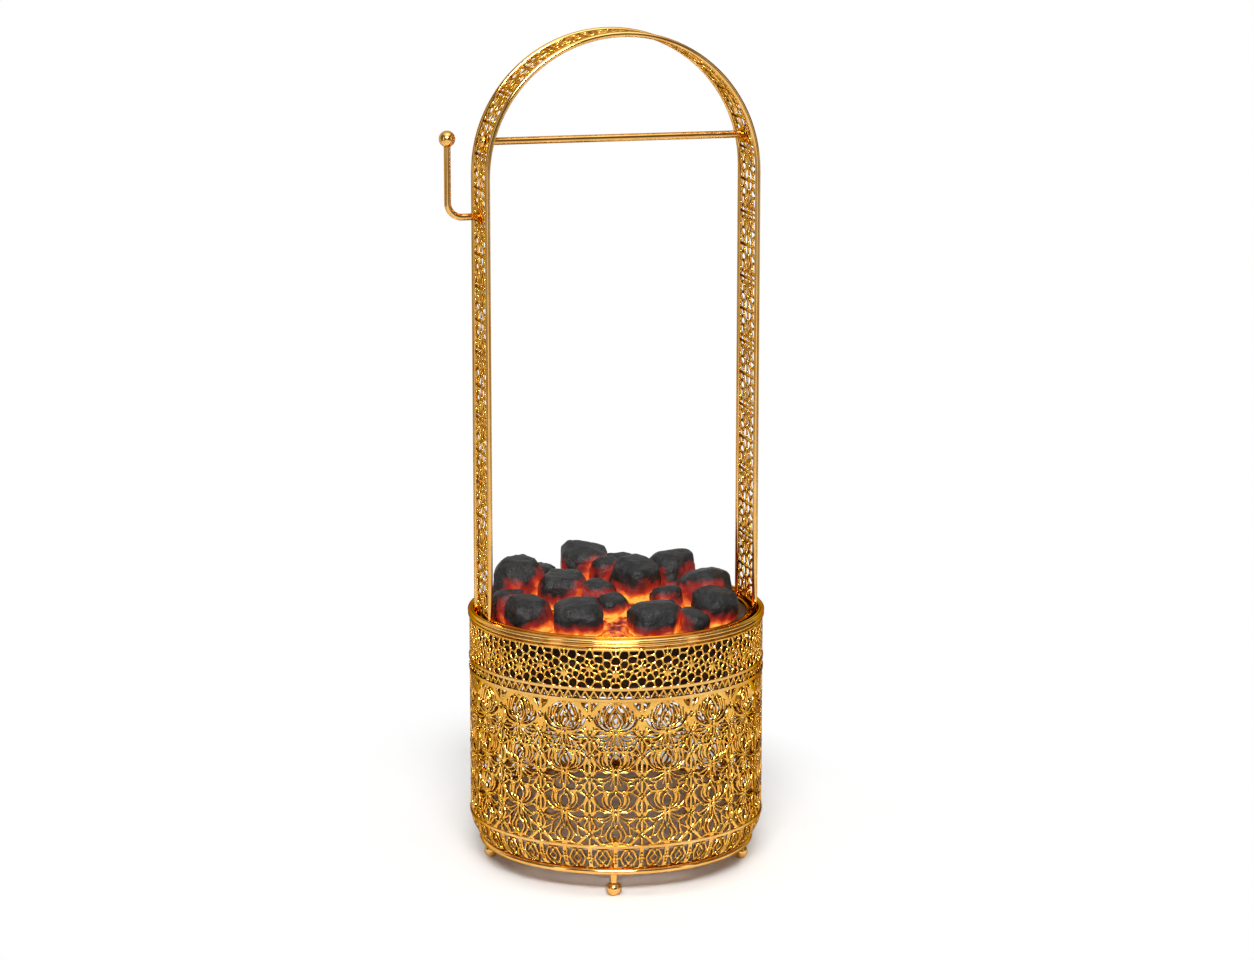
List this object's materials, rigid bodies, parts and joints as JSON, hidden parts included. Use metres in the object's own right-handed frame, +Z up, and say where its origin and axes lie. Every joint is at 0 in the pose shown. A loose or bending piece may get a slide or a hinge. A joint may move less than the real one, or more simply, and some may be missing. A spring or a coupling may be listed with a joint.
{
  "type": "charcoal basket",
  "caption": "Standing charcoal basket with a pierced gold wall on ball feet, a tall arch handle with a crossbar, a tong hook, and a lift-out pan of glowing lumps.",
  "frame": {"origin": "on the basket's axis, on the floor that its feet stand on", "axes": "+Z up, X across the two legs of the arch with the tong hook on the -X leg, +Y to the rear"},
  "size_m": [0.2039, 0.186, 0.5242],
  "materials": {
    "gilt": "polished gold plating",
    "floor_plate": "dull lacquered sheet",
    "pan": "heat-darkened gold plating",
    "charcoal": "matt charcoal",
    "embers": "glowing embers"
  },
  "bodies": {
    "basket": {"foot_front": "gilt", "foot_right": "gilt", "foot_rear": "gilt", "foot_left": "gilt", "foot_nuts": "gilt", "base_ring": "gilt", "wall_base": "gilt", "wall_field": "gilt", "wall_border": "gilt", "wall_collar": "gilt", "seam_hoop_lower": "gilt", "seam_hoop_middle": "gilt", "seam_hoop_upper": "gilt", "rim_bead": "gilt", "seat_ring": "gilt", "rim_collar": "gilt", "arch_front_rail": "gilt", "arch_rear_rail": "gilt", "arch_nuts": "gilt", "arch_band": "gilt", "crossbar": "gilt", "crossbar_collar_left": "gilt", "crossbar_cap_left": "gilt", "crossbar_collar_right": "gilt", "crossbar_cap_right": "gilt", "hook_rod": "gilt", "hook_ball": "gilt", "hook_washer": "gilt", "hook_nut": "gilt", "bottom_plate": "floor_plate"},
    "pan": {"coal_pan": "pan", "pan_lip_ring": "pan"},
    "coals": {"ember_bed": "embers", "coal_01": "charcoal", "coal_02": "charcoal", "coal_03": "charcoal", "coal_04": "charcoal", "coal_05": "charcoal", "coal_06": "charcoal", "coal_07": "charcoal", "coal_08": "charcoal", "coal_09": "charcoal", "coal_10": "charcoal", "coal_11": "charcoal", "coal_12": "charcoal", "coal_13": "charcoal", "coal_14": "charcoal", "coal_15": "charcoal", "coal_16": "charcoal", "coal_17": "charcoal", "coal_18": "charcoal", "coal_19": "charcoal", "coal_20": "charcoal", "coal_21": "charcoal", "coal_22": "charcoal"}
  },
  "joints": [
    {"name": "pan_lift", "type": "slide", "parent": "basket", "child": "pan", "axis": [0, 0, 1], "range_m": [0, 0.12]},
    {"name": "coal_lift", "type": "slide", "parent": "pan", "child": "coals", "axis": [0, 0, 1], "range_m": [0, 0.08]}
  ]
}
